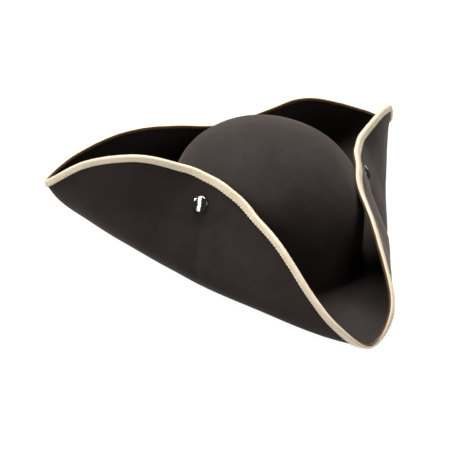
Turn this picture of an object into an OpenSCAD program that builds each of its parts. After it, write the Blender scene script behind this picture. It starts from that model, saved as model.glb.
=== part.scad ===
// Three-cornered felt hat with a bound edge and press-stud flaps.
// Millimetres. +Z is up, the front corner points along -Y, and the hat is symmetric
// left to right. The origin is the middle of the head opening, on the plane that the
// brim rests on. Angles are measured round the crown from the front (0) to the back (180).

/* [Crown] */
// Outer half width of the crown at its base, across the head
crown_half_width = 91.5; // [86:0.5:95]
// Outer half length of the crown at its base, front to back
crown_half_length = 103; // [98:0.5:106]
// Height of the crown above the resting plane
crown_height = 126; // [118:1:132]
// How square the crown's shoulder is, as a power of the height
shoulder_power = 4; // [3:0.5:5]
// How much higher the crown is towards the front, as a share of its height
crown_tilt = 0.03; // [0:0.01:0.06]
// Thickness of the felt
felt_t = 3; // [2:0.5:4]

/* [Brim] */
// Width of the flat ring round the head opening that the hat rests on
rest_ring = 8; // [5:1:12]
// Distance from the middle of the hat to the fold of each side flap
side_fold = 125; // [122:1:130]
// Direction that each side flap faces, from the front
side_facing = 63.5; // [62:0.5:65]
// Distance from the middle of the hat to the fold of the back flap
back_fold = 127; // [124:1:130]
// How far out the folds run into each corner
corner_fold = 202; // [198:1:204]
// Length of the rounded bend on each side of a fold
bend = 27; // [24:1:34]
// Height of the front corner's edge
front_tip_z = 3; // [3:0.5:8]
// Height of the two rear corners' edge
rear_tip_z = 53; // [48:1:58]

/* [Flap hinges] */
// Height above the resting plane where a flap starts to turn
split_z = 27; // [25:1:30]
// Rise of that line towards a rear corner, per millimetre along the flap
split_rise = 0.24; // [0.2:0.01:0.28]
// Gap between a flap and the fixed part of the brim
split_gap = 0.8; // [0.6:0.1:1.2]

/* [Braid] */
// Depth of the braid on the outer face
braid_outer = 7.5; // [6:0.5:9]
// Depth of the braid on the inner face
braid_inner = 3; // [2.5:0.5:5]
// Thickness of the braid
braid_t = 1; // [0.8:0.1:1.6]

/* [Sweatband] */
// Height of the sweatband inside the crown
band_h = 30; // [22:1:36]
// Thickness of the sweatband
band_t = 1.2; // [0.8:0.1:1.6]

/* [Press studs] */
// Diameter of the domed cap
cap_d = 15; // [12:0.5:16]
// Height of the domed cap above the felt
cap_h = 2.4; // [2:0.1:3]
// Distance of each press stud below the edge of its flap
stud_drop = 28; // [24:1:31]
// Angle round the crown of the two side press studs
side_stud_angle = 72; // [68:1:76]
// Diameter of the knob on the stud
knob_d = 4.8; // [4:0.1:5.4]
// Clearance all round the knob inside its socket
knob_gap = 0.6; // [0.5:0.1:0.8]

/* [Hidden] */

rear_corner = 118;

// The brim's outline on one side: angle from the front, distance of the edge from the
// middle, height of the edge, height of the fold below it
OUTLINE = [[0, 210, front_tip_z, 2], [9, 197, 27, 3], [20, 141, 65.5, 5], [38, 95.3, 87.5, 6.5],
           [58, 82.3, 100, 10.5], [74, 82.8, 103.6, 15], [88, 97.6, 107.5, 17], [102, 142.5, 108, 22.5],
           [111, 182, 87, 26], [rear_corner, 213, rear_tip_z, rear_tip_z - 26],
           [125, 198, 63, 27.5], [136, 155.5, 84.7, 21], [150, 113.5, 91.5, 6],
           [165, 99.8, 87.2, 2], [180, 97.5, 83.5, 1]];

// Angles at which each flap ends, next to a corner that stays fixed
side_from = 12;
side_to = 112;
back_from = 128;
// Angle that a flap stops short of its end, and that the fixed brim stops short of it
flap_part = 0.5;
// Angle between the end of a flap and the start of each braid beside it
braid_part = 0.5;
// The back braid's ends lean back towards the corners, so they start further in
back_braid_part = 2.2;

// Angles at which the felt is sectioned, closer together round a rear corner
HALF_ANGLES = concat([0, 4, 8, side_from - flap_part], [for (a = [side_from:4:side_to]) a],
                     [side_to + flap_part, 115, rear_corner, 121, 124, back_from - flap_part],
                     [for (a = [back_from:4:180]) a]);
LAST = len(HALF_ANGLES) - 1;
ALL_ANGLES = concat(HALF_ANGLES, [for (i = [LAST - 1:-1:1]) -HALF_ANGLES[i]]);

SIDE_ANGLES = concat([side_from + flap_part], [for (a = [side_from + 4:4:side_to - 4]) a],
                     [side_to - flap_part]);
BACK_ANGLES = concat([back_from + flap_part], [for (a = [back_from + 4:4:356 - back_from]) a],
                     [360 - back_from - flap_part]);

// ---- curves ----------------------------------------------------------------

// Slope of column k of table p at row i, level at both ends
function slope(p, i, k) =
    i == 0 || i == len(p) - 1 ? 0 :
    let (a = p[i][0] - p[i - 1][0], b = p[i + 1][0] - p[i][0],
         da = (p[i][k] - p[i - 1][k]) / a, db = (p[i + 1][k] - p[i][k]) / b)
    (da * b + db * a) / (a + b);

// Row of table p whose interval holds x
function row_of(p, x, i = 0) = i >= len(p) - 2 || x < p[i + 1][0] ? i : row_of(p, x, i + 1);

// Smooth curve through column k of table p, at x
function curve(p, x, k) =
    let (i = row_of(p, x), w = p[i + 1][0] - p[i][0], t = (x - p[i][0]) / w,
         m0 = slope(p, i, k) * w, m1 = slope(p, i + 1, k) * w, t2 = t * t, t3 = t2 * t)
    (2 * t3 - 3 * t2 + 1) * p[i][k] + (t3 - 2 * t2 + t) * m0
    + (3 * t2 - 2 * t3) * p[i + 1][k] + (t3 - t2) * m1;

function clamp01(x) = max(0, min(1, x));
function unit(v) = v / norm(v);
function mix(a, b, t) = a + (b - a) * t;

// Radius of an oval with half axes hw and hl, at an angle from the front
function oval(angle, hw, hl) = 1 / sqrt(pow(sin(angle) / hw, 2) + pow(cos(angle) / hl, 2));

// Point at a distance from the middle and a height, in the upright plane at an angle
function at(angle, rz) = [rz[0] * sin(angle), -rz[0] * cos(angle), rz[1]];

// ---- brim section: [distance from the middle, height] in one upright plane ---

// The angle from the front on either side of the hat, 0 to 180
function turn(angle) = abs(angle) > 180 ? 360 - abs(angle) : abs(angle);

function edge_rz(angle) = [curve(OUTLINE, turn(angle), 1), curve(OUTLINE, turn(angle), 2)];

function base_r(angle) = oval(angle, crown_half_width, crown_half_length);

// Distance to the fold: straight in front of each flap, rounded into the corners
fold_sharpness = 11.5;
function fold_r(angle) =
    let (side = max(0.05, cos(turn(angle) - side_facing)) / side_fold,
         back = max(0.05, -cos(angle)) / back_fold)
    pow(pow(side, fold_sharpness) + pow(back, fold_sharpness)
        + pow(1 / corner_fold, fold_sharpness), -1 / fold_sharpness);

function fold_z(angle) = curve(OUTLINE, turn(angle), 3);

// A little less than the least of three lengths, without a sudden change between them
function soft_least(a, b, c) = pow(pow(a, -4) + pow(b, -4) + pow(c, -4), -1 / 4);

// Corners of the section: ring end, bend start, fold, bend end, edge
function section(angle) =
    let (ring = [base_r(angle) + rest_ring, 0], fold = [fold_r(angle), fold_z(angle)],
         edge = edge_rz(angle),
         reach = soft_least(bend, norm(fold - ring), norm(edge - fold)))
    [ring, fold + unit(ring - fold) * reach, fold, fold + unit(edge - fold) * reach, edge];

// The outer face of the brim: u 0-1 is the bottom, 1-2 the bend and 2-3 the flap
function brim_rz(angle, u) =
    let (s = section(angle))
    u <= 1 ? mix(s[0], s[1], u) :
    u <= 2 ? mix(mix(s[1], s[2], u - 1), mix(s[2], s[3], u - 1), u - 1) :
    mix(s[3], s[4], u - 2);

function brim_point(angle, u) = at(angle, brim_rz(angle, u));

// Unit vector out of the felt's inner face, square to the brim
nudge = 0.02;
function brim_normal(angle, u) =
    let (lo = max(0, u - nudge), hi = min(3, u + nudge),
         across = brim_point(angle + 0.5, u) - brim_point(angle - 0.5, u),
         along = brim_point(angle, hi) - brim_point(angle, lo))
    unit(cross(along, across));

// A point of the felt: depth 0 is its outer face and felt_t its inner face
function felt_point(angle, u, depth) = brim_point(angle, u) + brim_normal(angle, u) * depth;

// ---- where each flap parts from the fixed brim -------------------------------

function split_height(angle) =
    let (a = turn(angle), r = edge_rz(angle)[0],
         along = a < rear_corner ? max(0, r * sin(a - side_facing)) : r * sin(a))
    split_z + split_rise * along;

// u where the brim crosses the split height
function split_u(angle) =
    let (s = section(angle))
    2 + clamp01((split_height(angle) - s[3][1]) / max(0.1, s[4][1] - s[3][1]));

// u where the fixed brim ends: at the split under a flap, and at the edge elsewhere
function fixed_u(angle) =
    let (a = turn(angle))
    (a >= side_from && a <= side_to) || a >= back_from ? split_u(angle) : 3;

// The gap as a step of u
function gap_u(angle) = let (s = section(angle)) split_gap / norm(s[4] - s[3]);

// ---- closed shells from grids ------------------------------------------------

// Faces of a grid of rows by cols points, with both directions open
function grid_faces(rows, cols, first, flip = false) =
    [for (i = [0:rows - 2], j = [0:cols - 2])
        let (a = first + i * cols + j, b = a + 1, c = a + cols + 1, d = a + cols)
        each (flip ? [[a, b, c], [a, c, d]] : [[a, c, b], [a, d, c]])];

// Wall that joins two runs of points, given as lists of indices
function wall(p, q) = [for (i = [0:len(p) - 2]) each [[p[i], p[i + 1], q[i + 1]], [p[i], q[i + 1], q[i]]]];

// A sheet with an outer grid and an inner grid of points, closed round its border
module sheet_solid(outer, inner) {
    rows = len(outer);
    cols = len(outer[0]);
    n = rows * cols;
    top = [for (j = [0:cols - 1]) j];
    bottom = [for (j = [0:cols - 1]) (rows - 1) * cols + j];
    left = [for (i = [0:rows - 1]) i * cols];
    right = [for (i = [0:rows - 1]) i * cols + cols - 1];
    function inner_of(list) = [for (k = list) k + n];
    function back(list) = [for (i = [len(list) - 1:-1:0]) list[i]];
    polyhedron(
        points = concat([for (r = outer) each r], [for (r = inner) each r]),
        faces = concat(
            grid_faces(rows, cols, 0), grid_faces(rows, cols, n, true),
            wall(top, inner_of(top)), wall(back(bottom), inner_of(back(bottom))),
            wall(back(left), inner_of(back(left))), wall(right, inner_of(right))));
}

// Rings of points stacked from a pole to a pole
module ring_solid(start, rings, finish) {
    m = len(rings[0]);
    count = len(rings);
    last = count * m + 1;
    points = concat([start], [for (r = rings) each r], [finish]);
    faces = concat(
        [for (j = [0:m - 1]) [0, 1 + (j + 1) % m, 1 + j]],
        [for (i = [0:count - 2], j = [0:m - 1])
            let (a = 1 + i * m + j, b = 1 + i * m + (j + 1) % m)
            each [[a, b, b + m], [a, b + m, a + m]]],
        [for (j = [0:m - 1]) [last, 1 + (count - 1) * m + j, 1 + (count - 1) * m + (j + 1) % m]]);
    polyhedron(points = points, faces = faces);
}

// Rings of points that close on themselves both ways
module loop_solid(rings) {
    m = len(rings[0]);
    count = len(rings);
    polyhedron(
        points = [for (r = rings) each r],
        faces = [for (i = [0:count - 1], j = [0:m - 1])
            let (next = (i + 1) % count, a = i * m + j, b = i * m + (j + 1) % m,
                 c = next * m + j, d = next * m + (j + 1) % m)
            each [[a, b, d], [a, d, c]]]);
}

// ---- felt --------------------------------------------------------------------

felt_colour = [0.10, 0.09, 0.09];

// Levels up the crown, as an angle that spaces them evenly round the shoulder
CROWN_STEPS = [80, 70, 60, 50, 40, 30, 20, 10, 3];
shoulder_root = 1.8;
function crown_share(step) = pow(cos(step), 2 / shoulder_root);
function crown_level(step) = pow(sin(step), 2 / shoulder_power);

// A ring of the crown, inset into the felt by depth
function crown_ring(step, depth) = [for (a = ALL_ANGLES)
    let (r = (base_r(a) - depth) * crown_share(step),
         forward = r * cos(a) / crown_half_length)
    at(a, [r, (crown_height - depth) * crown_level(step) * (1 + crown_tilt * forward)])];

// A ring of the brim at the same share of every section
function brim_ring(u, depth) = [for (a = ALL_ANGLES) felt_point(a, min(u, fixed_u(a)), depth)];

// The last ring, where each section is cut off for its flap
function cut_ring(depth) = [for (a = ALL_ANGLES) felt_point(a, fixed_u(a), depth)];

function flat_ring(inset, z) = [for (a = ALL_ANGLES) at(a, [base_r(a) - inset, z])];

BRIM_STEPS = [0.5, 1, 1.25, 1.5, 1.75, 2];
BRIM_LAST = len(BRIM_STEPS) - 1;

// The crown stands on the brim's ring
module felt_crown() {
    count = len(CROWN_STEPS);
    color(felt_colour) ring_solid(
        [0, 0, crown_height],
        concat(
            [for (i = [0:count - 1]) crown_ring(CROWN_STEPS[i], 0)],
            [flat_ring(0, felt_t), flat_ring(felt_t, felt_t)],
            [for (i = [count - 1:-1:0]) crown_ring(CROWN_STEPS[i], felt_t)]),
        [0, 0, crown_height - felt_t]);
}

// The flat ring, the folds and the three fixed corners
module felt_brim() {
    color(felt_colour) loop_solid(concat(
        [flat_ring(felt_t, felt_t), flat_ring(0, felt_t), flat_ring(-rest_ring, felt_t)],
        [for (u = BRIM_STEPS) brim_ring(u, felt_t)],
        [cut_ring(felt_t), cut_ring(0)],
        [for (i = [BRIM_LAST:-1:0]) brim_ring(BRIM_STEPS[i], 0)],
        [flat_ring(-rest_ring, 0), flat_ring(felt_t, 0)]));
}

FLAP_STEPS = [0, 0.25, 0.5, 0.75, 1];

function flap_row(angles, share, depth) = [for (a = angles)
    felt_point(a, mix(split_u(a) + gap_u(a), 3, share), depth)];

module flap(angles) {
    sheet_solid(
        [for (share = FLAP_STEPS) flap_row(angles, share, 0)],
        [for (share = FLAP_STEPS) flap_row(angles, share, felt_t)]);
}

module flap_right() { color(felt_colour) mirror([1, 0, 0]) flap(SIDE_ANGLES); }
module flap_left() { color(felt_colour) flap(SIDE_ANGLES); }
module flap_back() { color(felt_colour) flap(BACK_ANGLES); }

// ---- braid -------------------------------------------------------------------

braid_colour = [0.83, 0.72, 0.50];
braid_gap = 0.15;

// Corners of the braid's section: [distance in from the edge, depth into the felt]
BRAID_SECTION = [
    [braid_outer, -braid_gap - braid_t], [-braid_gap - braid_t, -braid_gap - braid_t],
    [-braid_gap - braid_t, felt_t + braid_gap + braid_t], [braid_inner, felt_t + braid_gap + braid_t],
    [braid_inner, felt_t + braid_gap], [-braid_gap, felt_t + braid_gap],
    [-braid_gap, -braid_gap], [braid_outer, -braid_gap]];

// A corner of the braid's section, square to the felt's edge at an angle
function braid_point(angle, c) =
    let (n = brim_normal(angle, 3),
         run = unit(brim_point(angle + 0.5, 3) - brim_point(angle - 0.5, 3)),
         inward = unit(cross(run, n)))
    brim_point(angle, 3) - inward * c[0] + n * c[1];

module braid(angles) {
    rings = [for (a = angles) [for (c = BRAID_SECTION) braid_point(a, c)]];
    m = len(BRAID_SECTION);
    n = len(rings);
    polyhedron(
        points = [for (r = rings) each r],
        faces = concat(
            [for (i = [0:n - 2], j = [0:m - 1])
                let (a = i * m + j, b = i * m + (j + 1) % m)
                each [[a, b, b + m], [a, b + m, a + m]]],
            [[for (j = [m - 1:-1:0]) j], [for (j = [0:m - 1]) (n - 1) * m + j]]));
}

// Angles of a braid's sections between two angles
function braid_angles(lo, hi, step) =
    let (n = ceil((hi - lo) / step)) [for (i = [0:n]) mix(lo, hi, i / n)];

module side_braid() {
    braid(braid_angles(side_from + braid_part, side_to - braid_part, 2));
}

module braid_right() { color(braid_colour) mirror([1, 0, 0]) side_braid(); }
module braid_left() { color(braid_colour) side_braid(); }
module braid_back() {
    ends = back_from + back_braid_part;
    color(braid_colour) braid(braid_angles(ends, 360 - ends, 3));
}
module braid_corners() {
    front = side_from - braid_part;
    color(braid_colour) {
        braid(braid_angles(-front, front, 1.5));
        for (side = [0, 1])
            mirror([side, 0, 0])
                braid(braid_angles(side_to + braid_part, back_from - braid_part, 1));
    }
}

// ---- sweatband ---------------------------------------------------------------

band_gap = 0.5;

module oval_disc(inset) {
    polygon([for (a = [0:4:356])
        let (r = oval(a, crown_half_width - inset, crown_half_length - inset))
        [r * sin(a), -r * cos(a)]]);
}

module sweatband() {
    color([0.07, 0.07, 0.075]) translate([0, 0, band_gap]) linear_extrude(band_h) difference() {
        oval_disc(felt_t + band_gap);
        oval_disc(felt_t + band_gap + band_t);
    }
}

// ---- press studs -------------------------------------------------------------
// Each stands on an axis square to its flap. Heights are along that axis, from the
// flap's outer face, and the crown lies at minus the seat depth.

side_stud_facing = 58;
side_stud_tilt = 28;
back_stud_tilt = 20;
seat = 6.9;
metal = [0.78, 0.78, 0.80];

// Cap: a dome on a rim, with a stem through the felt
cap_lift = 0.1;
cap_rim = 0.5;
stem_d = 4;
stem_into_socket = 0.3;

// Socket: a cup that the knob snaps into, with a flange against the felt
socket_face = -felt_t - 0.2;
socket_d = 9.4;
socket_flange_d = 12;
socket_h = 2.2;
socket_floor = 0.7;

// Stud: a hollow knob on a flange
stud_d = 10;
stud_flange = 0.9;
knob_h = 1.2;
knob_neck = 0.8;
stud_bore = 2.4;

// Eyelet: a washer inside the crown, and a tube through the felt into the stud
eyelet_d = 9.5;
eyelet_t = 0.8;
eyelet_stand = 0.4;
tube_d = 2.2;
tube_bore = 1.2;

function stud_rz(angle) =
    let (s = section(angle)) s[4] + unit(s[3] - s[4]) * stud_drop;

module place_stud(angle, facing, tilt) {
    translate(at(angle, stud_rz(angle)))
        rotate([0, 0, facing - 90]) rotate([0, 90 - tilt, 0]) children();
}

module each_side(name) {
    if (name == "back") place_stud(180, 180, back_stud_tilt) children();
    else if (name == "left") place_stud(side_stud_angle, side_stud_facing, side_stud_tilt) children();
    else mirror([1, 0, 0]) place_stud(side_stud_angle, side_stud_facing, side_stud_tilt) children();
}

module cap() {
    rise = cap_h - cap_rim;
    dome_r = (pow(cap_d / 2, 2) + pow(rise, 2)) / (2 * rise);
    foot = socket_face - stem_into_socket;
    intersection() {
        translate([0, 0, cap_h - dome_r]) sphere(r = dome_r, $fn = 96);
        translate([0, 0, cap_rim]) cylinder(d = cap_d, h = cap_h, $fn = 64);
    }
    translate([0, 0, cap_lift]) cylinder(d = cap_d, h = cap_rim - cap_lift, $fn = 64);
    translate([0, 0, foot]) cylinder(d = stem_d, h = cap_rim - foot, $fn = 48);
}

module socket() {
    bore_h = socket_h - socket_floor;
    translate([0, 0, socket_face - socket_h]) difference() {
        union() {
            cylinder(d = socket_d, h = socket_h, $fn = 64);
            translate([0, 0, bore_h]) cylinder(d = socket_flange_d, h = socket_floor, $fn = 64);
        }
        translate([0, 0, -1]) cylinder(d = knob_d + 2 * knob_gap, h = bore_h + 1, $fn = 64);
    }
}

module stud() {
    top = seat + socket_face - socket_floor - knob_gap;
    translate([0, 0, -seat]) difference() {
        union() {
            cylinder(d = stud_d, h = stud_flange, $fn = 64);
            cylinder(d = knob_d - knob_neck, h = top, $fn = 48);
            translate([0, 0, top - knob_h]) cylinder(d = knob_d, h = knob_h, $fn = 48);
        }
        translate([0, 0, -1]) cylinder(d = stud_bore, h = top + 1 - knob_h / 2, $fn = 48);
    }
}

module eyelet() {
    tube_h = felt_t + eyelet_stand + knob_h;
    translate([0, 0, -seat - felt_t - eyelet_stand - eyelet_t]) difference() {
        union() {
            cylinder(d = eyelet_d, h = eyelet_t, $fn = 64);
            cylinder(d = tube_d, h = eyelet_t + tube_h, $fn = 48);
        }
        translate([0, 0, -1]) cylinder(d = tube_bore, h = eyelet_t + tube_h + 2, $fn = 48);
    }
}

module snap_cap_right() { color(metal) each_side("right") cap(); }
module snap_cap_left() { color(metal) each_side("left") cap(); }
module snap_cap_back() { color(metal) each_side("back") cap(); }
module snap_socket_right() { color(metal) each_side("right") socket(); }
module snap_socket_left() { color(metal) each_side("left") socket(); }
module snap_socket_back() { color(metal) each_side("back") socket(); }
module snap_stud_right() { color(metal) each_side("right") stud(); }
module snap_stud_left() { color(metal) each_side("left") stud(); }
module snap_stud_back() { color(metal) each_side("back") stud(); }
module snap_eyelet_right() { color(metal) each_side("right") eyelet(); }
module snap_eyelet_left() { color(metal) each_side("left") eyelet(); }
module snap_eyelet_back() { color(metal) each_side("back") eyelet(); }

felt_crown();
felt_brim();
flap_right();
flap_left();
flap_back();
braid_corners();
braid_right();
braid_left();
braid_back();
sweatband();
snap_cap_right();
snap_cap_left();
snap_cap_back();
snap_socket_right();
snap_socket_left();
snap_socket_back();
snap_stud_right();
snap_stud_left();
snap_stud_back();
snap_eyelet_right();
snap_eyelet_left();
snap_eyelet_back();
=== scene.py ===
"""A black felt tricorn with a pale gold braid edge and nickel press studs, on a white studio floor.

The felt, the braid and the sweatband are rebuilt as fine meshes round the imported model. Angles are
in degrees round the crown from the front (0) to the back (180), and lengths are in millimetres until
a mesh is made.
"""

import math

import bpy
import numpy as np
from mathutils import Matrix, Vector


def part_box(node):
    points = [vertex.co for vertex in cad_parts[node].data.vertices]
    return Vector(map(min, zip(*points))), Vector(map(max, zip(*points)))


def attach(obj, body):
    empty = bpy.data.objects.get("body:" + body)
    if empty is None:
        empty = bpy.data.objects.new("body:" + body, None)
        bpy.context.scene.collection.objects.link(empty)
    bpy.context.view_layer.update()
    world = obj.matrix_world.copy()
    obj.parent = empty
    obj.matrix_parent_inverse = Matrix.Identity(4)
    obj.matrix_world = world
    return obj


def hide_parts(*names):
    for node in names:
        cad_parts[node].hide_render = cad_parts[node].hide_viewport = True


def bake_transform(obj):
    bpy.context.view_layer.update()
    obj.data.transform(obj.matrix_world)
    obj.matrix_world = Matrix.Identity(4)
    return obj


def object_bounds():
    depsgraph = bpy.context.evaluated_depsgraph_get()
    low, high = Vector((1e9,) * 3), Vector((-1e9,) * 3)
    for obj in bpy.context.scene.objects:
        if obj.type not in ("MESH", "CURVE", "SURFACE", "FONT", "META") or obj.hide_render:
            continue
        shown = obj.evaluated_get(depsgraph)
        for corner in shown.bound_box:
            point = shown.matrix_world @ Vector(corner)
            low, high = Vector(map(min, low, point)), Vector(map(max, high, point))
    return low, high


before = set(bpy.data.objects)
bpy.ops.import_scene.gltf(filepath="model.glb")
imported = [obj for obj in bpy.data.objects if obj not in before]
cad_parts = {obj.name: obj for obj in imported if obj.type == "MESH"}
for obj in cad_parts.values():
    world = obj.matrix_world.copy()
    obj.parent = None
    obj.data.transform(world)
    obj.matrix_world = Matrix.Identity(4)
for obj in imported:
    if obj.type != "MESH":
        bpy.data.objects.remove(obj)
CAD_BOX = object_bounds()
MM = 0.001


def box_mm(node):
    """Lowest and highest corner of a CAD node, in millimetres."""
    return tuple(np.array(corner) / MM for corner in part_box(node))


# ---- the felt's shape ----------------------------------------------------------

HALF_WIDTH, HALF_LENGTH, HEIGHT = box_mm("felt_crown")[1]
# Thickness of the felt, width of the flat ring that the hat rests on, round between crown and brim
FELT, REST_RING, FILLET = 3.0, 8.0, 4.0
# Roundness of the crown's shoulder, and how much its top drops towards the front
SHOULDER_POWER, SHOULDER_ROOT, CROWN_TILT = 4.0, 1.8, 0.03
# Angle that the side flaps face, and angle of the rear corners
SIDE_FACING, REAR_CORNER = 63.5, 118.0
# Distance from the middle to the folds of the side flaps, the back flap and the corners
SIDE_FOLD, BACK_FOLD, CORNER_FOLD = 125.0, 127.0, 202.0
# How sharply the folds run into each other, and length of the bend on each side of a fold
FOLD_SHARPNESS, BEND = 11.5, 27.0

# One side of the brim: angle, distance of the edge from the middle, edge height, fold height
OUTLINE = np.array([
    [0, 210, 3, 2], [9, 197, 27, 3], [20, 141, 65.5, 5], [38, 95.3, 87.5, 6.5], [58, 82.3, 100, 10.5],
    [74, 82.8, 103.6, 15], [88, 97.6, 107.5, 17], [102, 142.5, 108, 22.5], [111, 182, 87, 26],
    [REAR_CORNER, 213, 53, 27], [125, 198, 63, 27.5], [136, 155.5, 84.7, 21], [150, 113.5, 91.5, 6],
    [165, 99.8, 87.2, 2], [180, 97.5, 83.5, 1]], float)
EDGE_R, EDGE_Z, FOLD_Z = 1, 2, 3


def unit(v):
    return v / np.linalg.norm(v, axis=-1, keepdims=True)


def slopes(column):
    """Slope of a smooth curve at each row of the outline, level at both ends."""
    x, y = OUTLINE[:, 0], OUTLINE[:, column]
    step, rise = np.diff(x), np.diff(y) / np.diff(x)
    inner = (rise[:-1] * step[1:] + rise[1:] * step[:-1]) / (step[:-1] + step[1:])
    return np.concatenate([[0], inner, [0]])


SLOPES = {c: slopes(c) for c in (EDGE_R, EDGE_Z, FOLD_Z)}


def turn(angle):
    """The angle from the front on either side of the hat, 0 to 180."""
    a = np.abs(angle)
    return np.where(a > 180, 360 - a, a)


def curve(angle, column):
    """A smooth curve through one column of the outline."""
    x, y, m = OUTLINE[:, 0], OUTLINE[:, column], SLOPES[column]
    a = turn(np.asarray(angle, float))
    i = np.clip(np.searchsorted(x, a, side="right") - 1, 0, len(x) - 2)
    w = x[i + 1] - x[i]
    t = (a - x[i]) / w
    t2, t3 = t * t, t * t * t
    return ((2 * t3 - 3 * t2 + 1) * y[i] + (t3 - 2 * t2 + t) * m[i] * w
            + (3 * t2 - 2 * t3) * y[i + 1] + (t3 - t2) * m[i + 1] * w)


def oval(angle, half_width, half_length):
    t = np.radians(angle)
    return 1 / np.sqrt((np.sin(t) / half_width) ** 2 + (np.cos(t) / half_length) ** 2)


def base_r(angle):
    return oval(angle, HALF_WIDTH, HALF_LENGTH)


def fold_r(angle):
    """Distance to the fold: straight in front of each flap, rounded into the corners."""
    side = np.maximum(0.05, np.cos(np.radians(turn(angle) - SIDE_FACING))) / SIDE_FOLD
    back = np.maximum(0.05, -np.cos(np.radians(angle))) / BACK_FOLD
    total = sum(np.power(k, FOLD_SHARPNESS) for k in (side, back, 1 / CORNER_FOLD))
    return np.power(total, -1 / FOLD_SHARPNESS)


def pair(r, z):
    return np.stack(np.broadcast_arrays(r, z), -1).astype(float)


def section(angle):
    """Corners of the brim's section: ring's end, start of the bend, fold, end of the bend, edge."""
    ring = pair(base_r(angle) + REST_RING, 0.0)
    fold = pair(fold_r(angle), curve(angle, FOLD_Z))
    edge = pair(curve(angle, EDGE_R), curve(angle, EDGE_Z))
    bottom = np.linalg.norm(fold - ring, axis=-1)
    flap = np.linalg.norm(edge - fold, axis=-1)
    reach = ((BEND ** -4.0) + bottom ** -4.0 + flap ** -4.0) ** -0.25
    start = fold + unit(ring - fold) * reach[..., None]
    end = fold + unit(edge - fold) * reach[..., None]
    return ring, start, fold, end, edge


def brim_rz(angle, u):
    """The brim's outer face: u 0-1 is its bottom, 1-2 the bend, 2-3 the flap."""
    ring, start, fold, end, edge = section(angle)
    u = u[..., None]
    rounded = np.minimum(REST_RING - FILLET, np.linalg.norm(start - ring, axis=-1) * 0.8)[..., None]
    low = ring + (pair(1.0, 0.0) * -rounded)
    high = ring + unit(start - ring) * rounded
    knee = 0.5
    t = np.clip(u / knee, 0, 1)
    corner = (low * (1 - t) + ring * t) * (1 - t) + (ring * (1 - t) + high * t) * t
    t = np.clip((u - knee) / (1 - knee), 0, 1)
    bottom = high + (start - high) * t
    t = np.clip(u - 1, 0, 1)
    bend = (start * (1 - t) + fold * t) * (1 - t) + (fold * (1 - t) + end * t) * t
    flap = end + (edge - end) * (u - 2)
    return np.where(u <= knee, corner, np.where(u <= 1, bottom, np.where(u <= 2, bend, flap)))


def at(angle, rz):
    t = np.radians(angle)
    return np.stack([rz[..., 0] * np.sin(t), -rz[..., 0] * np.cos(t), rz[..., 1]], -1)


def brim(angle, u):
    angle, u = np.broadcast_arrays(np.asarray(angle, float), np.asarray(u, float))
    return at(angle, brim_rz(angle, u))


def brim_normal(angle, u):
    """Unit vector out of the felt's inner face."""
    across = brim(angle + 0.5, u) - brim(angle - 0.5, u)
    along = brim(angle, np.minimum(u + 0.02, 3)) - brim(angle, np.maximum(u - 0.02, 0))
    return unit(np.cross(along, across))


# ---- small unevenness of blocked felt --------------------------------------------

rng = np.random.default_rng(17)
WAVES = [(unit(rng.normal(size=3)) * 2 * np.pi / length, rng.uniform(0, 6.28), height)
         for length, height in [(150, 0.5), (110, 0.4), (80, 0.28), (60, 0.2), (45, 0.13), (33, 0.09),
                                (24, 0.06), (18, 0.045)]]


def unevenness(p):
    """Long soft waves in the felt, none where the hat rests."""
    total = sum(h * np.sin(p @ k + phase) for k, phase, h in WAVES)
    return total * np.clip(p[..., 2] / 25, 0, 1)


# ---- press studs, as the CAD places them ------------------------------------------


def node_points(node):
    """The corners of a CAD node's mesh, in millimetres."""
    return np.array([v.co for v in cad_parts[node].data.vertices]) / MM


STUD_FACING = {"right": -58.0, "left": 58.0, "back": 180.0}
STUD_TILT = {"right": 28.0, "left": 28.0, "back": 20.0}
CAP_H = 2.4


def stud_place(side):
    """(point on the felt's outer face, axis) of a press stud."""
    facing, tilt = math.radians(STUD_FACING[side]), math.radians(STUD_TILT[side])
    axis = np.array([math.sin(facing) * math.cos(tilt), -math.cos(facing) * math.cos(tilt),
                     math.sin(tilt)])
    low, high = box_mm("snap_stud_" + side)
    middle = (low + high) / 2
    top = (node_points("snap_cap_" + side) @ axis).max()
    return middle + axis * (top - CAP_H - middle @ axis), axis


STUDS = {side: stud_place(side) for side in ("right", "left", "back")}
# The felt drawn in round a stud, and how far along its axis that reaches
DIMPLE_R, DIMPLE_DEPTH, DIMPLE_REACH = 13.0, 0.55, 14.0
# The crease below a stud: how long and deep, and how deep the back flap's is beside the others
CREASE_LENGTH, CREASE_DEPTH, BACK_CREASE = 78.0, 3.4, 0.5
# Where the crease starts, and the lengths over which it deepens and dies out
CREASE_START, CREASE_RISE, CREASE_FADE = 4.0, 14.0, 24.0
# Its width ahead of and behind its line, and how much the line leans to the front
CREASE_BEFORE, CREASE_BEHIND, CREASE_LEAN = 12.0, 18.0, 0.24


def pulled(p):
    """How far the felt is drawn in round each press stud, and along the soft crease below it."""
    total = np.zeros(p.shape[:-1])
    for side, (centre, axis) in STUDS.items():
        d = p - centre
        level = unit(np.cross([0.0, 0.0, 1.0], axis))
        down = unit(np.cross(level, axis))
        down = down if down[2] < 0 else -down
        across, below = d @ level, d @ down
        near = np.abs(d @ axis) < DIMPLE_REACH
        dimple = DIMPLE_DEPTH * np.exp(-(across ** 2 + below ** 2) / DIMPLE_R ** 2)
        fade = (np.clip((below - CREASE_START) / CREASE_RISE, 0, 1)
                * np.clip((CREASE_LENGTH - below) / CREASE_FADE, 0, 1))
        forward = across if level[1] < 0 else -across
        off = forward - CREASE_LEAN * below
        reach = np.where(off > 0, CREASE_BEFORE, CREASE_BEHIND)
        crease = CREASE_DEPTH * fade * np.exp(-(np.sqrt(off ** 2 + 1) - 1) / reach)
        total += np.where(near, dimple + (crease * BACK_CREASE if side == "back" else crease), 0)
    return total


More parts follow.
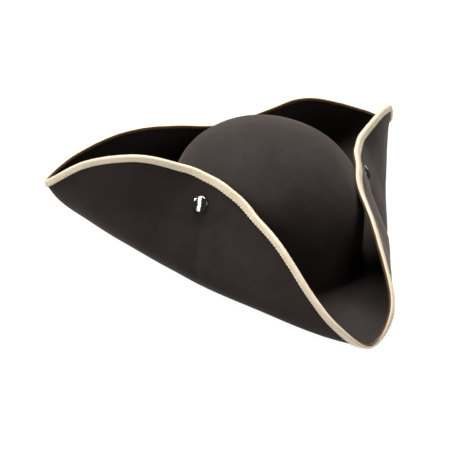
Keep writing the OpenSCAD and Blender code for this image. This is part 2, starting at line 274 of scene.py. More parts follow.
def felt_point(angle, u, depth):
    """A point of the brim's felt: depth 0 is its outer face and FELT its inner face."""
    p, n = brim(angle, u), brim_normal(angle, u)
    shift = unevenness(p) + pulled(p)
    return p + n * (shift + depth)[..., None]


# ---- the crown --------------------------------------------------------------------

# The crown's radius as its profile is divided into even steps
MEAN_RADIUS = 95.0
# The crown's unevenness beside the brim's, and the heights between which it comes in
CROWN_WAVES, WAVES_FROM, WAVES_FULL = 0.8, 12.0, 42.0


def crown_profile(rows):
    """(share of the base radius, share of the height) at even steps from the base to the top."""
    t = np.radians(np.linspace(0, 90, 2000))
    shape = pair(np.cos(t) ** (2 / SHOULDER_ROOT), np.sin(t) ** (2 / SHOULDER_POWER))
    steps = np.linalg.norm(np.diff(shape, axis=0) * [MEAN_RADIUS, HEIGHT], axis=1)
    span = np.concatenate([[0], np.cumsum(steps)])
    foot = np.interp((FILLET + FELT) / HEIGHT, shape[:, 1], span)
    s = np.linspace(foot, span[-1], rows)
    return pair(np.interp(s, span, shape[:, 0]), np.interp(s, span, shape[:, 1]))


def crown_point(angle, share, depth):
    """A point of the crown, inset into the felt by depth."""
    r = (base_r(angle) - depth) * share[0]
    forward = r * np.cos(np.radians(angle)) / HALF_LENGTH
    rz = pair(r, (HEIGHT - depth) * share[1] * (1 + CROWN_TILT * forward))
    p = at(angle, rz)
    outward = unit(p * np.array([1, 1, 0.6]) + 1e-9)
    fade = np.clip((p[..., 2] - WAVES_FROM) / (WAVES_FULL - WAVES_FROM), 0, 1)
    return p + outward * (unevenness(p) * CROWN_WAVES * fade)[..., None]


def fillet_ring(angle, radius, t):
    """The quarter round between crown and brim, t from 0 at the crown to 1 at the brim."""
    bow = t * math.pi / 2
    r = base_r(angle) + FILLET - radius * math.cos(bow)
    return at(angle, pair(r, FELT + FILLET - radius * math.sin(bow)))


# ---- meshes ------------------------------------------------------------------------


class Shape:
    """Points and faces gathered for one mesh, with each point's painted shade mark (1 for none)."""

    def __init__(self):
        self.points, self.faces, self.count, self.marks = [], [], 0, []

    def add(self, points, mark=None):
        flat = np.asarray(points, float).reshape(-1, 3)
        ids = np.arange(len(flat)) + self.count
        self.points.append(flat)
        self.marks.append(np.ones(len(flat)) if mark is None else np.asarray(mark, float).ravel())
        self.count += len(flat)
        return ids.reshape(np.asarray(points).shape[:-1])

    def skin(self, ids, wrap=False):
        """Quads over a grid of point numbers."""
        if wrap:
            ids = np.concatenate([ids, ids[:, :1]], axis=1)
        a, b, c, d = ids[:-1, :-1], ids[:-1, 1:], ids[1:, 1:], ids[1:, :-1]
        self.faces += np.stack([a, b, c, d], -1).reshape(-1, 4).tolist()

    def strip(self, a, b):
        self.skin(np.stack([a, b]))

    def fan(self, ids, pole, flip=False):
        nxt = np.roll(ids, -1)
        self.faces += [[int(p), int(q), int(pole)][::-1 if flip else 1] for p, q in zip(ids, nxt)]

    def cap(self, ids):
        self.faces.append([int(i) for i in ids])

    def thread(self, line, thick, aside, up, sides):
        """A closed round thread along a line, with its radius at each point of the line."""
        turns = np.linspace(0, 2 * np.pi, sides, endpoint=False)[None, :, None]
        ring = aside[:, None] * np.cos(turns) + up[:, None] * np.sin(turns)
        ids = self.add(line[:, None] + thick[:, None, None] * ring)
        self.skin(ids, wrap=True)
        self.cap(ids[0][::-1])
        self.cap(ids[-1])

    def piece(self, name, material, crisp=50):
        """The mesh object, in metres, smooth but for edges sharper than crisp degrees."""
        mesh = bpy.data.meshes.new(name)
        mesh.from_pydata((np.concatenate(self.points) * MM).tolist(), [], self.faces)
        mesh.validate()
        mesh.update()
        # Each point's mark becomes an attribute that the materials read as painted shade, 1 for none
        mark = mesh.attributes.new("painted_shade_mark", "FLOAT", "POINT")
        mark.data.foreach_set("value", np.concatenate(self.marks).astype(np.float32))
        mesh.polygons.foreach_set("use_smooth", [True] * len(mesh.polygons))
        mesh.set_sharp_from_angle(angle=math.radians(crisp))
        mesh.materials.append(material)
        piece = bpy.data.objects.new(name, mesh)
        bpy.context.scene.collection.objects.link(piece)
        return piece


# ---- materials -----------------------------------------------------------------------


class Nodes:
    """A Principled material under construction."""

    def __init__(self, name):
        self.material = bpy.data.materials.new(name)
        self.material.use_nodes = True
        self.tree = self.material.node_tree
        self.shader = self.tree.nodes["Principled BSDF"]
        self.place = self.tree.nodes.new("ShaderNodeTexCoord").outputs["Object"]

    def new(self, kind, **inputs):
        node = self.tree.nodes.new(kind)
        for key, value in inputs.items():
            self.set(node, key.replace("_", " "), value)
        return node

    def set(self, node, key, value):
        socket = node.inputs[key]
        if isinstance(value, bpy.types.NodeSocket):
            self.tree.links.new(value, socket)
        else:
            socket.default_value = value

    def noise(self, scale, detail=3.0, roughness=0.5, stretch=None):
        where = self.place
        if stretch is not None:
            mapping = self.new("ShaderNodeMapping", Vector=self.place, Scale=stretch)
            where = mapping.outputs["Vector"]
        node = self.new("ShaderNodeTexNoise", Vector=where, Scale=scale, Detail=detail,
                        Roughness=roughness)
        return node.outputs["Fac"]

    def ramp(self, value, *stops):
        node = self.new("ShaderNodeValToRGB", Fac=value)
        elements = node.color_ramp.elements
        while len(elements) < len(stops):
            elements.new(0.5)
        for element, (position, colour) in zip(elements, stops):
            element.position = position
            element.color = (*colour, 1) if len(colour) == 3 else colour
        return node.outputs["Color"]

    def math(self, operation, a, b):
        node = self.new("ShaderNodeMath")
        node.operation = operation
        self.set(node, 0, a)
        self.set(node, 1, b)
        return node.outputs[0]

    def mix(self, kind, factor, a, b):
        node = self.tree.nodes.new("ShaderNodeMix")
        node.data_type = "RGBA"
        node.blend_type = kind
        for index, value in ((0, factor), (6, a), (7, b)):
            if isinstance(value, bpy.types.NodeSocket):
                self.tree.links.new(value, node.inputs[index])
            else:
                node.inputs[index].default_value = value if index == 0 else (*value, 1)
        return node.outputs[2]

    def mark(self):
        # Each point's painted shade mark, 0 darkest and 1 for none
        node = self.tree.nodes.new("ShaderNodeAttribute")
        node.attribute_name = "painted_shade_mark"
        return node.outputs["Fac"]

    def bump(self, *layers):
        """Bumps on top of each other, each (height, distance in metres, strength)."""
        normal = None
        for height, distance, strength in layers:
            node = self.new("ShaderNodeBump", Height=height, Distance=distance, Strength=strength)
            if normal is not None:
                self.set(node, "Normal", normal)
            normal = node.outputs["Normal"]
        self.set(self.shader, "Normal", normal)

    def done(self, **inputs):
        for key, value in inputs.items():
            self.set(self.shader, key.replace("_", " "), value)
        return self.material


def felt_material():
    m = Nodes("felt")
    nap = m.noise(900, 4, 0.6)
    tuft = m.noise(160, 3, 0.55)
    cloud = m.noise(26, 3, 0.5)
    fibre = m.noise(420, 2, 0.5, stretch=(1.0, 1.0, 0.22))
    tone = m.ramp(cloud, (0.30, (0.0205, 0.0160, 0.0150)), (0.72, (0.0305, 0.0240, 0.0226)))
    speck = m.ramp(nap, (0.35, (0.72, 0.72, 0.72)), (0.75, (1.22, 1.20, 1.17)))
    colour = m.mix("MULTIPLY", 1.0, tone, speck)
    rough = m.ramp(tuft, (0.3, (0.86, 0.86, 0.86)), (0.7, (0.97, 0.97, 0.97)))
    m.bump((cloud, 0.0012, 0.12), (tuft, 0.0006, 0.25), (fibre, 0.00025, 0.35), (nap, 0.00018, 0.45))
    return m.done(Base_Color=colour, Roughness=rough, Sheen_Weight=0.28, Sheen_Roughness=0.42,
                  Sheen_Tint=(0.60, 0.50, 0.455, 1), Specular_IOR_Level=0.22)


def braid_material():
    m = Nodes("braid")
    cloud = m.noise(60, 3, 0.5)
    thread = m.noise(1500, 2, 0.5)
    tone = m.ramp(cloud, (0.30, (0.85, 0.765, 0.62)), (0.72, (0.92, 0.86, 0.74)))
    # Painted shade: darker in the weave's grooves and along the lower edge against the felt, dark brown
    # on the inner side and on the side against the felt
    painted_shading = m.ramp(m.mark(), (0.0, (0.10, 0.055, 0.022)), (0.10, (0.16, 0.095, 0.040)),
                    (0.22, (0.58, 0.46, 0.30)), (0.55, (0.91, 0.87, 0.79)), (1.0, (1.0, 1.0, 1.0)))
    colour = m.mix("MULTIPLY", 1.0, tone, painted_shading)
    speck = m.ramp(thread, (0.35, (0.88, 0.86, 0.82)), (0.7, (1.06, 1.05, 1.04)))
    colour = m.mix("MULTIPLY", 1.0, colour, speck)
    rough = m.ramp(thread, (0.3, (0.42, 0.42, 0.42)), (0.7, (0.62, 0.62, 0.62)))
    m.bump((thread, 0.0002, 0.4))
    return m.done(Base_Color=colour, Roughness=rough, Sheen_Weight=0.25, Sheen_Roughness=0.4,
                  Sheen_Tint=(1.0, 0.93, 0.80, 1), Specular_IOR_Level=0.4)


def thread_material(name, colour):
    m = Nodes(name)
    twist = m.noise(2600, 2, 0.5)
    dark = tuple(c * 0.7 for c in colour)
    tone = m.ramp(twist, (0.35, dark), (0.7, colour))
    m.bump((twist, 0.0001, 0.5))
    return m.done(Base_Color=tone, Roughness=0.55, Sheen_Weight=0.2)


def metal_material(name, colour, low, high):
    m = Nodes(name)
    smear = m.noise(220, 4, 0.6)
    scratch = m.noise(700, 2, 0.5, stretch=(1.0, 0.15, 1.0))
    tone = m.ramp(smear, (0.35, tuple(c * 0.93 for c in colour)), (0.7, colour))
    rough = m.ramp(smear, (0.3, (low,) * 3), (0.75, (high,) * 3))
    m.bump((scratch, 0.00002, 0.12))
    return m.done(Base_Color=tone, Metallic=1.0, Roughness=rough)


def ribbon_material():
    m = Nodes("ribbon")
    cloud = m.noise(50, 2, 0.5)
    yarn = m.noise(1800, 2, 0.5)
    tone = m.ramp(cloud, (0.3, (0.012, 0.012, 0.014)), (0.7, (0.022, 0.022, 0.025)))
    # Painted shade: darker in the troughs between the ribs, by each point's mark
    painted_shading = m.ramp(m.mark(), (0.0, (0.45, 0.45, 0.45)), (1.0, (1.0, 1.0, 1.0)))
    colour = m.mix("MULTIPLY", 1.0, tone, painted_shading)
    rough = m.ramp(yarn, (0.3, (0.45, 0.45, 0.45)), (0.7, (0.62, 0.62, 0.62)))
    m.bump((yarn, 0.00015, 0.4))
    return m.done(Base_Color=colour, Roughness=rough, Sheen_Weight=0.3, Specular_IOR_Level=0.4)


FELT_LOOK = felt_material()
BRAID_LOOK = braid_material()
RIBBON_LOOK = ribbon_material()
CAP_LOOK = metal_material("nickel", (0.80, 0.79, 0.77), 0.06, 0.13)
WORKS_LOOK = metal_material("plain_nickel", (0.62, 0.61, 0.59), 0.24, 0.38)
GOLD_THREAD = thread_material("gold_thread", (0.78, 0.68, 0.50))
BLACK_THREAD = thread_material("black_thread", (0.025, 0.024, 0.026))


# ---- felt pieces -----------------------------------------------------------------------

# Each flap's felt and braid are made in two halves that meet in the middle of the flap:
# first and last angle, and the flap that the half belongs to
HALVES = {
    "right_front": (-SIDE_FACING, 0, "right_flap"),
    "right_rear": (-REAR_CORNER, -SIDE_FACING, "right_flap"),
    "left_front": (0, SIDE_FACING, "left_flap"),
    "left_rear": (SIDE_FACING, REAR_CORNER, "left_flap"),
    "back_left": (REAR_CORNER, 180, "back_flap"),
    "back_right": (180, 360 - REAR_CORNER, "back_flap"),
}


def bend_with_flap(piece):
    """Bakes the piece's placement into its mesh."""
    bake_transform(piece)


BEND_ROWS, FLAP_ROWS, BOTTOM_ROWS, CROWN_ROWS = 14, 30, 10, 46
FLAP_STEP, BODY_STEP = 0.7, 0.75


def felt_half(half):
    """The bend and the flap of one half, as closed felt."""
    lo, hi, _ = HALVES[half]
    angles = np.linspace(lo, hi, int((hi - lo) / FLAP_STEP) + 1)
    u = np.concatenate([np.linspace(1, 2, BEND_ROWS), np.linspace(2, 3, FLAP_ROWS)[1:]])
    a, w = np.meshgrid(angles, u)
    shape = Shape()
    outer = shape.add(felt_point(a, w, 0.0))
    inner = shape.add(felt_point(a, w, FELT))
    shape.skin(outer)
    shape.skin(inner[:, ::-1])
    shape.strip(inner[0], outer[0])
    shape.strip(outer[-1], inner[-1])
    shape.strip(outer[:, 0], inner[:, 0])
    shape.strip(inner[:, -1], outer[:, -1])
    piece = shape.piece("felt_" + half, FELT_LOOK)
    bend_with_flap(piece)
    return piece


def felt_body():
    """The crown, the ring round the head opening and the brim's bottom, in one closed piece."""
    angles = np.arange(0, 360, BODY_STEP)
    profile = crown_profile(CROWN_ROWS)[:-1]
    steps = np.linspace(0, 1, BOTTOM_ROWS)
    rows = [crown_point(angles, share, 0.0) for share in profile[::-1]]
    rows += [fillet_ring(angles, FILLET, t) for t in (0.25, 0.5, 0.75, 1.0)]
    rows += [felt_point(angles, np.full_like(angles, u), FELT) for u in steps]
    rows += [felt_point(angles, np.full_like(angles, u), 0.0) for u in steps[::-1]]
    rows += [fillet_ring(angles, FILLET + FELT, t) for t in (1.0, 0.8, 0.6, 0.4, 0.2, 0.0)]
    rows += [crown_point(angles, share, FELT) for share in profile[1:]]
    shape = Shape()
    ids = shape.add(np.stack(rows))
    shape.skin(ids, wrap=True)
    shape.fan(ids[0], shape.add(crown_point(np.zeros(1), (0.0, 1.0), 0.0))[0], flip=True)
    shape.fan(ids[-1], shape.add(crown_point(np.zeros(1), (0.0, 1.0), FELT))[0])
    piece = shape.piece("felt_body", FELT_LOOK)
    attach(piece, "body")
    return piece


# ---- braid -------------------------------------------------------------------------------

# Width on the felt's outer face at its widest and at the corners, and on the inner face
BRAID_OUTER, BRAID_NARROW, BRAID_INNER = 7.2, 5.4, 1.9
# Angle where the braid is widest, and angle from there to where it is narrow
WIDEST_ANGLE, WIDEST_SPAN = 62.0, 46.0
# How far it stands off the felt, and the depth from which its inner side is painted dark brown as shade
BRAID_STAND, INNER_PAINTED_SHADE_FROM = 1.1, 2.6
# Pitch and depth of the scallops along its lower edge, and how far up they reach
SCALLOP, SCALLOP_DEPTH, SCALLOP_REACH = 3.8, 0.75, 3.0
# The weave: height, slant and share of the ribs, pitch of the rows, and plain width at each edge
RIB_DEPTH, RIB_SLANT, RIB_SHARE, ROW_PITCH, PLAIN_EDGE = 0.28, 0.8, 0.75, 2.6, 1.2
# Painted shade in the weave's grooves: the lowest mark there
GROOVE_PAINTED_SHADE = 0.25
# The lap where the braid's ends meet: where, how long, how high, and the lengths of its two slopes
LAP_ANGLE, LAP_LENGTH, LAP_RISE = 109.0, 15.0, 0.75
LAP_STEP, LAP_TAPER = 1.2, 6.0

EDGE_ANGLES = np.arange(-180, 180.001, 0.05)
EDGE_RUN = np.concatenate(
    [[0], np.cumsum(np.linalg.norm(np.diff(brim(EDGE_ANGLES, 3.0), axis=0), axis=1))])
RING_STEP = 0.42


def run_at(angle):
    """Distance along the edge to an angle from -180 to 360."""
    whole = EDGE_RUN[-1]
    past = angle > 180
    return np.interp(angle - 360 * past, EDGE_ANGLES, EDGE_RUN) + whole * past


def angle_at(run):
    """Angle at a distance along the edge."""
    whole = EDGE_RUN[-1]
    past = run > whole
    return np.interp(run - whole * past, EDGE_RUN, EDGE_ANGLES) + 360 * past


def braid_width(angle):
    """Width of the braid's outer side: drawn in towards the corners, where the edge turns hard."""
    spread = np.clip(np.abs(turn(angle) - WIDEST_ANGLE) / WIDEST_SPAN, 0, 1)
    return BRAID_NARROW + (BRAID_OUTER - BRAID_NARROW) * (0.5 + 0.5 * np.cos(np.pi * spread))


def braid_path():
    """Outside of the braid's section: (distance in from the edge, depth) and the outward normal."""
    middle = FELT / 2
    radius = middle + BRAID_STAND
    outer = [(BRAID_OUTER, -0.12), (BRAID_OUTER - 0.02, -0.5), (BRAID_OUTER - 0.25, -0.95),
             (BRAID_OUTER - 0.8, -1.3)]
    outer += [(d, -BRAID_STAND) for d in np.linspace(BRAID_OUTER - 1.5, middle + 0.6, 9)]
    turns = [(middle - radius * math.sin(t), middle - radius * math.cos(t))
             for t in np.linspace(0, math.pi, 15)]
    inner = [(BRAID_INNER - 0.8, FELT + 1.4), (BRAID_INNER - 0.15, FELT + 0.9),
             (BRAID_INNER, FELT + 0.12)]
    path = np.array(outer + turns + inner)
    tangent = unit(np.gradient(path, axis=0))
    return path, np.stack([tangent[:, 1], -tangent[:, 0]], -1)


ANGLE_STEP, REACH_STEP = 0.1, 0.4
TABLE_ANGLES = np.arange(0, 180.01, ANGLE_STEP)
TABLE_REACH = np.arange(0, 16.1, REACH_STEP)


def reach_table():
    """u at each distance in from the edge along the section, for each angle of TABLE_ANGLES."""
    u = np.concatenate([np.linspace(3, 2, 60), np.linspace(2, 0, 90)[1:]])
    a, w = np.meshgrid(TABLE_ANGLES, u, indexing="ij")
    rz = brim_rz(a, w)
    run = np.cumsum(np.linalg.norm(np.diff(rz, axis=1), axis=-1), axis=1)
    run = np.concatenate([np.zeros((len(a), 1)), run], axis=1)
    return np.stack([np.interp(TABLE_REACH, row, u) for row in run])


REACH = reach_table()


def u_below_edge(angle, distance):
    """u at a distance in from the edge along the felt."""
    x = np.clip(turn(angle) / ANGLE_STEP, 0, len(TABLE_ANGLES) - 1.001)
    y = np.clip(distance / REACH_STEP, 0, len(TABLE_REACH) - 1.001)
    i, j = x.astype(int), y.astype(int)
    p, q = x - i, y - j
    return ((REACH[i, j] * (1 - q) + REACH[i, j + 1] * q) * (1 - p)
            + (REACH[i + 1, j] * (1 - q) + REACH[i + 1, j + 1] * q) * p)


def on_edge(angle, inward, depth):
    """Points near the felt's edge, a distance in along the felt and at a depth from its outer face."""
    angle, inward, depth = np.broadcast_arrays(angle, inward, depth)
    ends = np.full_like(angle, 3.0)
    normal = brim_normal(angle, ends)
    along = (brim(angle + 0.1, ends) - brim(angle - 0.1, ends)) / 0.2
    down = unit(brim(angle, u_below_edge(angle, np.full_like(angle, 2.0))) - brim(angle, ends))
    into = unit(np.cross(normal, along))
    into = into * np.sign((into * down).sum(-1, keepdims=True))
    # A millimetre of into is this many millimetres of down and degrees of along
    millimetres = 1 / np.maximum((into * down).sum(-1), 0.3)
    degrees = -millimetres * (down * along).sum(-1) / (along * along).sum(-1)
    inside = np.maximum(inward, 0)
    a = angle + degrees * inside
    u = u_below_edge(a, millimetres * inside)
    base, n = felt_point(a, u, np.zeros_like(a)), brim_normal(a, u)
    return base + into * np.minimum(inward, 0)[..., None] + n * depth[..., None]


def braid_half(half):
    """The braid over one half's edge, with its woven ribs and scalloped lower edge."""
    lo, hi, _ = HALVES[half]
    start, end = run_at(lo), run_at(hi)
    run = np.linspace(start, end, int((end - start) / RING_STEP) + 1)
    angle = angle_at(run)
    path, out = braid_path()
    length = np.concatenate([[0], np.cumsum(np.linalg.norm(np.diff(path, axis=0), axis=1))])
    s, v = run[:, None], length[None, :]
    spine = length[8]
    rib = 0.5 + 0.5 * np.cos(2 * np.pi * (s + RIB_SLANT * np.abs(v - spine)) / (SCALLOP / 2))
    row = 0.5 + 0.5 * np.cos(2 * np.pi * v / ROW_PITCH)
    weave = RIB_SHARE * rib + (1 - RIB_SHARE) * row
    fade = np.clip(v / PLAIN_EDGE, 0, 1) * np.clip((length[-1] - v) / PLAIN_EDGE, 0, 1)
    past_lap = s - run_at(LAP_ANGLE)
    lap = np.clip(past_lap / LAP_STEP, 0, 1) * np.clip((LAP_LENGTH - past_lap) / LAP_TAPER, 0, 1)
    height = (RIB_DEPTH * weave + LAP_RISE * lap) * fade
    inward = path[:, 0] + out[:, 0] * height
    depth = path[:, 1] + out[:, 1] * height
    outside = path[:, 1] < 1
    squeeze = (BRAID_OUTER - braid_width(angle))[:, None] / (BRAID_OUTER - FELT)
    inward = inward - np.clip(inward - FELT, 0, None) * outside * squeeze
    low_edge = np.clip((path[:, 0] - (BRAID_OUTER - SCALLOP_REACH)) / SCALLOP_REACH, 0, 1) * outside
    inward = inward + SCALLOP_DEPTH * (np.abs(np.sin(np.pi * s / SCALLOP)) - 0.6) * low_edge
    skin_points = on_edge(angle[:, None], inward, depth)
    # The side that lies against the felt, from its inner face to its outer face
    lining = np.array([(0.0, FELT + 0.1), (-0.1, FELT / 2), (0.0, -0.1)])
    lining_points = on_edge(angle[:, None], lining[:, 0], lining[:, 1])
    # The mark paints shade: lower in the weave's grooves and at the lower edge against the felt
    mark = GROOVE_PAINTED_SHADE + (1 - GROOVE_PAINTED_SHADE) * weave * np.clip(v / 0.8, 0.25, 1)
    # The inner side is painted dark as shade
    mark = mark * np.clip((INNER_PAINTED_SHADE_FROM - path[:, 1]) / 0.5, 0, 1)
    # The side against the felt is painted fully dark as shade
    mark = np.concatenate([mark, np.zeros((len(run), len(lining)))], axis=1)
    shape = Shape()
    rings = shape.add(np.concatenate([skin_points, lining_points], axis=1), mark)
    shape.skin(rings[:, ::-1], wrap=True)
    shape.cap(rings[0])
    shape.cap(rings[-1][::-1])
    piece = shape.piece("braid_" + half, BRAID_LOOK, crisp=70)
    bend_with_flap(piece)
    return piece


# Radius of a stitch, and how far it runs along the braid and across its lower edge
STITCH_R, STITCH_RUN, STITCH_SPAN = 0.22, 1.2, 2.2
# How far below the braid it starts, how far it stands off the felt there, how much more on the
# braid, and its bow
STITCH_START, STITCH_LOW, STITCH_CLIMB, STITCH_BOW = 0.3, 0.1, 1.5, 0.3


def stitches_half(half):
    """Slanted stitches that hold the braid's lower edge to the felt."""
    lo, hi, _ = HALVES[half]
    start, end = run_at(lo), run_at(hi)
    first = math.ceil(start / SCALLOP) * SCALLOP
    t = np.linspace(0, 1, 7)
    inward = STITCH_SPAN * t - STITCH_START
    stand = STITCH_LOW + STITCH_CLIMB * np.clip(t * 2, 0, 1) * (t < 1) + STITCH_BOW * np.sin(np.pi * t)
    thick = STITCH_R * np.sqrt(np.clip(1 - (2 * t - 1) ** 4, 0.08, 1))
    shape = Shape()
    for run in np.arange(first, end - 1, SCALLOP):
        angle = angle_at(run + (t - 0.5) * STITCH_RUN)
        line = on_edge(angle, braid_width(angle) - inward, -stand)
        along = unit(np.gradient(line, axis=0))
        aside = unit(np.cross(along, brim_normal(angle, np.full_like(angle, 3.0))))
        shape.thread(line, thick, aside, np.cross(along, aside), 8)
    piece = shape.piece("braid_stitches_" + half, GOLD_THREAD)
    bend_with_flap(piece)
    return piece


# ---- sweatband -------------------------------------------------------------------------------

# Cut length of the ribbon in metres: once round the crown, with the lap at the back
RIBBON_LENGTH = 0.590
# Depth of the ribbon's face, of its ribs and of its lap, with the number of ribs and the lap's angle
FACE, RIB, RIBS, LAP, LAP_HALF_ANGLE = 0.95, 0.22, 360, 0.7, 3.2
POINTS_ROUND = 1440


def sweatband():
    """A ribbed ribbon inside the crown, with a turned edge and a lapped seam at the back."""
    low, high = box_mm("sweatband")
    top, bottom = high[2], low[2]
    angles = np.linspace(0, 360, POINTS_ROUND, endpoint=False)
    outside = oval(angles, high[0], high[1])
    plain = np.ones(POINTS_ROUND)
    rib = 0.5 + 0.5 * np.cos(np.radians(angles) * RIBS)
    lap = np.abs(angles - 180) < LAP_HALF_ANGLE
    face = [(bottom, 0.15), (bottom + 0.6, 0.75), (bottom + 2.5, FACE)]
    face += [(z, FACE) for z in np.linspace(bottom + 5, top - 5, 7)]
    # The turned edge, a rounded welt
    face += [(top - 2.6, FACE), (top - 2.2, 1.35), (top - 1.2, 1.7), (top - 0.3, 1.35), (top, 0.6)]
    rows, marks = [], []
    for z, inset in face:
        ribbed = bottom + 2 < z < top - 2.4
        depth = inset + (RIB * rib if ribbed else 0.0) + LAP * lap
        rows.append(at(angles, pair(outside - depth, z)))
        # The ribs' mark paints shade into the troughs between them
        marks.append(rib if ribbed else plain)
    for z in (top - 0.4, (top + bottom) / 2, bottom + 0.2):
        rows.append(at(angles, pair(outside, z)))
        marks.append(plain)
    shape = Shape()
    ids = shape.add(np.stack(rows), np.stack(marks))
    shape.skin(np.concatenate([ids, ids[:1]])[:, ::-1], wrap=True)
    piece = shape.piece("sweatband_ribbon", RIBBON_LOOK)
    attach(piece, "body")
    return piece, (float(top - bottom) * MM, RIBBON_LENGTH)


# Pitch and half length of the stitches in degrees, and how far below the ribbon's top they run
BAND_STITCH_PITCH, BAND_STITCH_HALF, BAND_STITCH_DROP = 3.0, 0.95, 4.2
BAND_STITCH_R, BAND_STITCH_DEPTH, BAND_STITCH_BOW = 0.22, 1.15, 0.35


def band_stitches():
    """A running stitch that holds the ribbon's turned edge."""
    high = box_mm("sweatband")[1]
    t = np.linspace(-1, 1, 5)
    bow = 1 - t ** 4
    thick = BAND_STITCH_R * np.sqrt(np.clip(bow, 0.1, 1))
    aside = np.tile([0.0, 0.0, 1.0], (len(t), 1))
    shape = Shape()
    for middle in np.arange(BAND_STITCH_PITCH / 2, 360, BAND_STITCH_PITCH):
        angles = middle + t * BAND_STITCH_HALF
        r = oval(angles, high[0], high[1]) - BAND_STITCH_DEPTH - BAND_STITCH_BOW * bow
        line = at(angles, pair(r, high[2] - BAND_STITCH_DROP))
        along = unit(np.gradient(line, axis=0))
        shape.thread(line, thick, aside, np.cross(along, aside), 6)
    piece = shape.piece("sweatband_stitches", BLACK_THREAD)
    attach(piece, "body")
    return piece


# ---- press studs ---------------------------------------------------------------------------


def lathe(name, material, side, profile, body):
    """A turned piece on a press stud's axis: profile is (radius, height from the felt's outer face)."""
    centre, axis = STUDS[side]
    x = unit(np.cross(axis, [0.0, 0.0, 1.0]))
    y = np.cross(axis, x)
    sides = np.linspace(0, 2 * np.pi, 64, endpoint=False)
    circle = np.cos(sides)[:, None] * x + np.sin(sides)[:, None] * y
    profile = np.array(profile, float)
    shape = Shape()
    hollow = profile[0][0] > 0 and profile[-1][0] > 0
    body_rows = profile if hollow else profile[1:-1]
    ids = shape.add(np.stack([centre + circle * r + axis * h for r, h in body_rows]))
    if hollow:
        shape.skin(np.concatenate([ids, ids[:1]]), wrap=True)
    else:
        shape.skin(ids, wrap=True)
        shape.fan(ids[0], shape.add((centre + axis * profile[0][1])[None])[0], flip=True)
        shape.fan(ids[-1], shape.add((centre + axis * profile[-1][1])[None])[0])
    piece = shape.piece(name, material, crisp=35)
    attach(piece, body)
    return piece


CAP_R = 7.5
# Height of the middle of the cap's rolled rim, and half its width and height
CAP_RIM, RIM_R, RIM_H = 0.55, 0.5, 0.42


def cap_profile():
    """Foot of the stem, under the rim, round the rolled rim and over the dome to its top."""
    stem_r, stem_foot = 2.0, -3.5
    rim = [(CAP_R - RIM_R + RIM_R * math.sin(t), CAP_RIM - RIM_H * math.cos(t))
           for t in np.linspace(0, 2.6, 9)]
    start_r, start_h = rim[-1]
    rise = CAP_H - start_h
    dome_r = (start_r ** 2 + rise ** 2) / (2 * rise)
    sweep = math.asin(start_r / dome_r)
    dome = [(dome_r * math.sin(t), CAP_H - dome_r * (1 - math.cos(t)))
            for t in np.linspace(sweep, 0, 22)[1:]]
    stem = [(0, stem_foot), (stem_r, stem_foot), (stem_r, CAP_RIM - 0.3),
            (stem_r + 1, CAP_RIM - RIM_H)]
    return stem + rim + dome


def ring_profile(r_in, r_out, low, high, soften):
    """A flat ring with rounded edges, as a closed loop."""
    def corner(r, h, start):
        return [(r + soften * math.cos(t), h + soften * math.sin(t))
                for t in np.linspace(start, start + math.pi / 2, 5)]
    return (corner(r_out - soften, low + soften, -math.pi / 2)
            + corner(r_out - soften, high - soften, 0)
            + corner(r_in + soften, high - soften, math.pi / 2)
            + corner(r_in + soften, low + soften, math.pi))


# Bore, outside and edge radius of the washer on the eyelet, and its depth past the eyelet's foot
WASHER_IN, WASHER_OUT, WASHER_EDGE, WASHER_LOW, WASHER_HIGH = 1.3, 4.75, 0.3, -0.1, 0.9


def press_stud(side):
    """The cap and a washer, and the socket, stud and eyelet as the CAD has them."""
    flap = side + "_flap"
    cap = lathe("press_stud_cap_" + side, CAP_LOOK, side, cap_profile(), flap)
    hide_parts("snap_cap_" + side)
    centre, axis = STUDS[side]
    foot = ((node_points("snap_eyelet_" + side) - centre) @ axis).min()
    rounded = ring_profile(WASHER_IN, WASHER_OUT, foot + WASHER_LOW, foot + WASHER_HIGH, WASHER_EDGE)
    washer = lathe("press_stud_washer_" + side, WORKS_LOOK, side, rounded, "body")
    for kind in ("snap_socket_", "snap_stud_", "snap_eyelet_"):
        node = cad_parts[kind + side]
        node.data.materials.clear()
        node.data.materials.append(WORKS_LOOK)


# ---- floor, light and camera ------------------------------------------------------------------


# Half the floor's side, and how far it lies below the hat, in metres
FLOOR_SIZE, FLOOR_DROP = 12.0, 0.0004


def white_floor():
    mesh = bpy.data.meshes.new("floor")
    corners = [(-FLOOR_SIZE, -FLOOR_SIZE), (FLOOR_SIZE, -FLOOR_SIZE), (FLOOR_SIZE, FLOOR_SIZE),
               (-FLOOR_SIZE, FLOOR_SIZE)]
    mesh.from_pydata([(x, y, CAD_BOX[0].z - FLOOR_DROP) for x, y in corners], [], [(0, 1, 2, 3)])
    m = Nodes("floor")
    grain = m.noise(8, 3, 0.5)
    tone = m.ramp(grain, (0.3, (0.13, 0.13, 0.13)), (0.7, (0.15, 0.15, 0.15)))
    mesh.materials.append(m.done(Base_Color=tone, Roughness=0.9, Specular_IOR_Level=0.0,
                                 Emission_Color=(1.0, 1.0, 1.0, 1), Emission_Strength=0.97))
    floor = bpy.data.objects.new("floor", mesh)
    floor.visible_glossy = False
    bpy.context.scene.collection.objects.link(floor)


HAT_MIDDLE = Vector((-0.03, -0.04, 0.07))


def softbox(name, place, size, power, colour, lean=(0, 0, 1)):
    """A rectangular area light at a place, pointing at the hat, its second side along lean."""
    data = bpy.data.lights.new(name, "AREA")
    data.shape = "RECTANGLE"
    data.size, data.size_y = size
    data.energy = power
    data.color = colour
    light = bpy.data.objects.new(name, data)
    back = (Vector(place) - HAT_MIDDLE).normalized()
    across = Vector(lean).cross(back).normalized()
    turned = Matrix((across, back.cross(across), back)).transposed().to_4x4()
    light.matrix_world = Matrix.Translation(place) @ turned
    light.visible_camera = False
    bpy.context.scene.collection.objects.link(light)


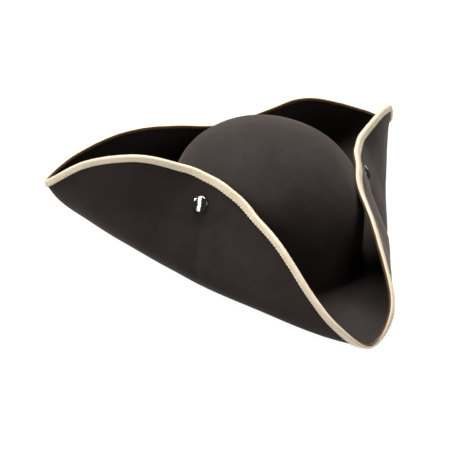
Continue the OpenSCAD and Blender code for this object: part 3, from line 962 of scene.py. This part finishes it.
def studio():
    softbox("overhead", (0.12, 0.80, 2.12), (1.7, 1.7), 98, (1.0, 0.97, 0.94), (0, 1, 0.3))
    softbox("window_low", (-2.05, -0.42, 0.10), (0.7, 1.6), 6, (1.0, 0.97, 0.95))
    softbox("window_high", (-1.59, 0.165, 1.29), (0.7, 1.6), 6, (1.0, 0.97, 0.95), (0.86, 1.05, 0.90))
    softbox("behind_left", (-1.60, 1.35, 0.85), (0.3, 0.3), 14, (1.0, 0.97, 0.95))
    softbox("behind_right", (1.9, 1.15, 0.35), (0.5, 1.3), 1.2, (1.0, 0.98, 0.97))
    softbox("fill", (0.6, -2.0, 1.5), (1.6, 1.6), 11, (1.0, 0.97, 0.95))
    world = bpy.data.worlds.new("studio")
    world.use_nodes = True
    back = world.node_tree.nodes["Background"]
    back.inputs["Color"].default_value = (1.0, 1.0, 1.0, 1)
    back.inputs["Strength"].default_value = 0.03
    bpy.context.scene.world = world
    bpy.context.scene.view_settings.view_transform = "Standard"


AZIMUTH, ELEVATION, ROLL = math.radians(-30.1), math.radians(29.13), math.radians(4.83)
# Distance and shifts in metres, lens in millimetres
DISTANCE, SLIDE, RISE = 4.63, -0.0357, 0.0186
LENS = 384.9


def camera():
    """At the photograph's viewing angle. The camera slides and rises to frame the hat."""
    back = Vector((math.sin(AZIMUTH) * math.cos(ELEVATION), -math.cos(AZIMUTH) * math.cos(ELEVATION),
                   math.sin(ELEVATION)))
    right = Vector((math.cos(AZIMUTH), math.sin(AZIMUTH), 0))
    up = back.cross(right)
    level = right * math.cos(ROLL) + up * math.sin(ROLL)
    upright = up * math.cos(ROLL) - right * math.sin(ROLL)
    data = bpy.data.cameras.new("camera")
    data.sensor_width = 36
    data.lens = LENS
    data.clip_start, data.clip_end = 0.1, 100
    eye = bpy.data.objects.new("camera", data)
    turned = Matrix((level, upright, back)).transposed().to_4x4()
    eye.matrix_world = Matrix.Translation(back * DISTANCE + level * SLIDE + upright * RISE) @ turned
    bpy.context.scene.collection.objects.link(eye)
    bpy.context.scene.camera = eye


# ---- the hat -----------------------------------------------------------------------------------

camera()
body = felt_body()
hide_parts("felt_crown", "felt_brim", "braid_corners")
for half, (_, _, flap) in HALVES.items():
    side = flap.split("_")[0]
    felt = felt_half(half)
    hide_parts("flap_" + side)
    braid = braid_half(half)
    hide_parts("braid_" + side)
    stitches_half(half)
ribbon, ribbon_cut = sweatband()
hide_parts("sweatband")
seam = band_stitches()
for side in STUDS:
    press_stud(side)

white_floor()
studio()
